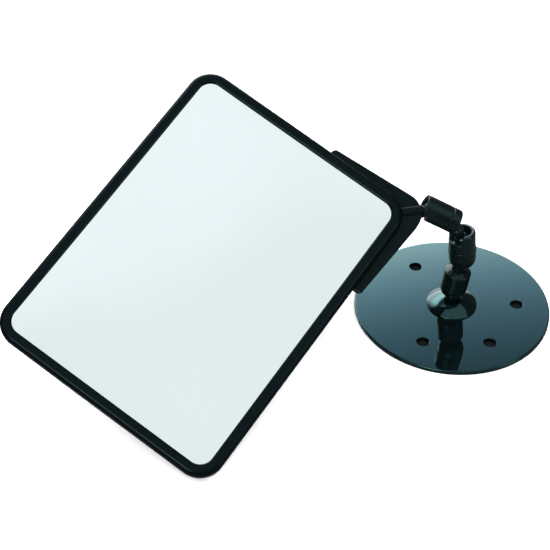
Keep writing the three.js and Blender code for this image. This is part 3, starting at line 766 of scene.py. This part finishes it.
def shoe_screw(index, x, y):
    """A pan-head screw with a cross recess. Its head faces the back."""
    under = SHOE_BACK - TOUCH
    back = under - SCREW_HEAD_THICK
    tip = PAD_BACK - SCREW_TIP_GAP
    place = PANEL_PLACE @ Matrix.Translation((x * MM, y * MM, 0))
    profile = [
        (0, back), (1.2, back + 0.03), (2.4, back + 0.3), (SCREW_HEAD - 0.35, back + 0.75),
        (SCREW_HEAD, under - 0.45), (SCREW_HEAD, under), (SCREW_RADIUS, under), (SCREW_RADIUS, tip), (0, tip),
    ]
    node = f"shoe_screw_{index}"
    screw = lathe("smooth_" + node, profile, place, 64, radius=0.2)
    turn = place @ Matrix.Rotation(math.radians(25.0 * index), 4, "Z")
    half, narrow, deep = 1.7, 0.32, 0.9
    blade = [(-half, -narrow), (half, -narrow), (half, narrow), (-half, narrow)]
    for quarter in (0, 90):
        blade_place = turn @ Matrix.Rotation(math.radians(quarter), 4, "Z")
        cut(screw, [extruded("recess_cutter", blade, back - OVERCUT, back + deep, blade_place)])
    return stands_for(screw, node)


# ---- CAD pieces that keep their shape ----
def kept_nodes(names):
    for name in names:
        node = frame["nodes"][name]
        node.data.materials.clear()
        node.data.materials.append(LOOKS[SLOT_OF[name]])


# ---- stage, light and camera ----
# Drops below the object's lowest point: the floor's, and that of the disc of painted shade under the plate's screw
# holes.
FLOOR_DROP, SHADE_DISC_DROP = 0.2, 0.1


def floor():
    low = cad_box[0][2] - FLOOR_DROP * MM
    half = 6.0
    mesh = bpy.data.meshes.new("floor")
    corners = [(-half, -half, low), (half, -half, low), (half, half, low), (-half, half, low)]
    mesh.from_pydata(corners, [], [(0, 1, 2, 3)])
    stage = bpy.data.objects.new("floor", mesh)
    bpy.context.scene.collection.objects.link(stage)
    look = Look("pale_floor")
    cloud = look.ranged(look.noise(3.0), 0.3, 0.7, 0.0, 1.0)
    tone = look.mixed(cloud, (0.9, 0.905, 0.905), (0.92, 0.92, 0.92))
    socket(look.shader, "Specular IOR Level", 0.1)
    mesh.materials.append(look.finish(tone, look.ranged(look.noise(20.0), 0.3, 0.7, 0.75, 0.9)))
    stage.visible_glossy = False


def painted_hole_shade():
    """A dark disc on the floor under the plate: painted shade that makes its screw holes look dark."""
    low = cad_box[0][2] / MM - SHADE_DISC_DROP
    reach = HOLE_CIRCLE + 3 * HOLE_RADIUS
    ring = arc(0, 0, reach, 0, 360, 96)[:-1]
    painted_shade_disc = piece("painted_hole_shade", [(x, y, low) for x, y in ring], [tuple(range(len(ring)))], UPRIGHT)
    painted_shade_disc.modifiers.clear()
    # Its near-black colour is painted shade for the plate's screw holes, with a little noise in tone and
    # roughness.
    look = Look("painted_shade_look")
    shade_noise = look.noise(2600.0, 5.0)
    tone = look.mixed(shade_noise, (0.002, 0.003, 0.003), (0.007, 0.009, 0.009))
    socket(look.shader, "Specular IOR Level", 0.05)
    painted_shade_disc.data.materials.append(look.finish(tone, look.ranged(shade_noise, 0.3, 0.7, 0.85, 1.0)))


def studio():
    """A softbox above, a bright panel behind that fades upward, and two small strips in a dim room."""
    world = bpy.data.worlds.new("studio")
    bpy.context.scene.world = world
    world.use_nodes = True
    tree = world.node_tree
    background = tree.nodes["Background"]
    direction = tree.nodes.new("ShaderNodeTexCoord").outputs["Generated"]

    def calc(operation, *values):
        node = tree.nodes.new("ShaderNodeMath")
        node.operation = operation
        for index, value in enumerate(values):
            if isinstance(value, (int, float)):
                node.inputs[index].default_value = value
            else:
                tree.links.new(value, node.inputs[index])
        return node.outputs["Value"]

    def facing(axis, start, end):
        dot = tree.nodes.new("ShaderNodeVectorMath")
        dot.operation = "DOT_PRODUCT"
        tree.links.new(direction, dot.inputs[0])
        dot.inputs[1].default_value = Vector(axis).normalized()
        fade = tree.nodes.new("ShaderNodeMapRange")
        fade.interpolation_type = "SMOOTHSTEP"
        fade.inputs["From Min"].default_value = start
        fade.inputs["From Max"].default_value = end
        tree.links.new(dot.outputs["Value"], fade.inputs["Value"])
        return fade.outputs["Result"]

    separate = tree.nodes.new("ShaderNodeSeparateXYZ")
    tree.links.new(direction, separate.inputs["Vector"])
    across, up = separate.outputs["X"], separate.outputs["Z"]
    gain, fall, side, limit = 20.2, 28.4, 6.3, 8.0
    drop = calc("ADD", calc("MULTIPLY", up, fall), calc("MULTIPLY", across, side))
    glow = calc("MINIMUM", calc("EXPONENT", calc("SUBTRACT", gain, drop)), limit)
    sides = calc("MULTIPLY", facing((1.0, 0.0, 0.0), -0.78, -0.5), facing((-1.0, 0.0, 0.0), -0.45, -0.28))
    back = calc("MULTIPLY", facing((0.0, 1.0, 0.0), 0.25, 0.5), facing((0.0, 0.0, 1.0), -0.05, 0.1))
    behind = calc("MULTIPLY", sides, back)
    dimmed = calc("ADD", calc("MULTIPLY", facing((0.0, 0.0, 1.0), 0.35, 0.58), 0.45), 0.55)
    panel = calc("MULTIPLY", calc("MULTIPLY", glow, behind), dimmed)
    overhead = (0.03, -0.3, 0.95)
    middle = calc("ADD", calc("MULTIPLY", facing((-0.15, 0.2, 0.95), 0.75, 1.0), 0.09), 0.85)
    softbox = calc("MULTIPLY", facing(overhead, 0.68, 0.76), middle)
    table_glow, left_glow, right_glow, room_glow = 0.16, 11.0, 4.0, 0.06
    table = calc("MULTIPLY", facing((0.0, 0.0, -1.0), 0.0, 0.35), table_glow)
    left_strip = calc("MULTIPLY", facing((-0.37, -0.8, 0.44), 0.968, 0.988), left_glow)
    right_strip = calc("MULTIPLY", facing((0.82, -0.45, 0.36), 0.968, 0.988), right_glow)
    room = calc("ADD", calc("ADD", left_strip, right_strip), room_glow)
    total = calc("ADD", calc("ADD", panel, softbox), calc("ADD", table, room))
    tree.links.new(total, background.inputs["Strength"])
    faded = calc("SUBTRACT", 1.2, calc("MULTIPLY", glow, 0.2))
    cool = tree.nodes.new("ShaderNodeMix")
    cool.data_type = "RGBA"
    first, second = [s for s in cool.inputs if s.type == "RGBA"]
    first.default_value, second.default_value = (1.0, 1.0, 1.0, 1.0), (0.8, 1.0, 1.28, 1.0)
    tree.links.new(calc("MULTIPLY", faded, behind), cool.inputs["Factor"])
    tree.links.new(next(s for s in cool.outputs if s.type == "RGBA"), background.inputs["Color"])


def overhead_light():
    """A wide soft lamp that lifts the floor. Glossy surfaces don't mirror it."""
    data = bpy.data.lights.new("overhead", "AREA")
    data.shape = "DISK"
    data.size = 2.4
    data.energy = 75.0
    lamp = bpy.data.objects.new("overhead", data)
    bpy.context.scene.collection.objects.link(lamp)
    lamp.location = (0.0, -0.3, 1.8)
    lamp.visible_glossy = False


def camera():
    """Placed by what it looks at: the aim point, compass heading, downward angle, roll and distance."""
    aim = Vector((-109.33, 0.0, 23.89)) * MM
    heading, down, roll, distance = -0.795, 40.68, 0.30, 0.8033
    data = bpy.data.cameras.new("camera")
    data.lens, data.sensor_width = 86.3, 36.0
    data.clip_start, data.clip_end = 0.05, 30.0
    view = bpy.data.objects.new("camera", data)
    bpy.context.scene.collection.objects.link(view)
    turn = Matrix.Rotation(math.radians(-heading), 4, "Z") @ Matrix.Rotation(math.radians(90 - down), 4, "X")
    turn = turn @ Matrix.Rotation(math.radians(roll), 4, "Z")
    view.matrix_world = Matrix.Translation(aim) @ turn @ Matrix.Translation((0, 0, distance))
    bpy.context.scene.camera = view


camera()
base_plate()
base_boss()
boss_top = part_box("base_boss")[1].z / MM
base_height = BASE_BALL.z / MM
base_foot = boss_top - base_height
ball_stud("base_stud", Matrix.Translation(BASE_BALL), base_foot, base_foot - STUD_THREAD)
ball("base_ball", Matrix.Translation(BASE_BALL))
lower_barrel()
link_foot = LOWER["top"] - LOWER["length"] + TOUCH
ball_stud("link_stud", raised(LOWER_PLACE, LOWER["length"]), link_foot, link_foot - STUD_THREAD)
ball("link_ball", raised(LOWER_PLACE, LOWER["length"]))
riser_barrel()
elbow_stud()
ball("elbow_lower_ball", ELBOW_PLACE, flip=-1)
ball("elbow_upper_ball", raised(ELBOW_PLACE, ELBOW["length"]))
cross_barrel()
shoe_foot = SHOE_BOSS_END - STUD_REACH + TOUCH
shoe_thread_end = shoe_foot - SHOE_STUD["thread"]
ball_stud("shoe_stud", STUD_PLACE, shoe_foot, shoe_thread_end, SHOE_STUD["collar"], SHOE_STUD["collar_thick"])
ball("shoe_ball", STUD_PLACE)
edge_trim()
mirror_face()
backing_board()
corner_shoe()
for number, (screw_x, screw_y) in enumerate(SHOE_SCREWS, start=1):
    shoe_screw(number, screw_x, screw_y)
kept_nodes([
    "lower_seat", "lower_spring", "riser_first_seat", "riser_spring", "riser_second_seat",
    "cross_first_seat", "cross_spring", "cross_second_seat", "face_pad", "shoe_pad",
])
floor()
# A disc of painted shade under the plate's screw holes.
painted_hole_shade()
studio()
overhead_light()
bpy.context.scene.view_settings.view_transform = "Standard"
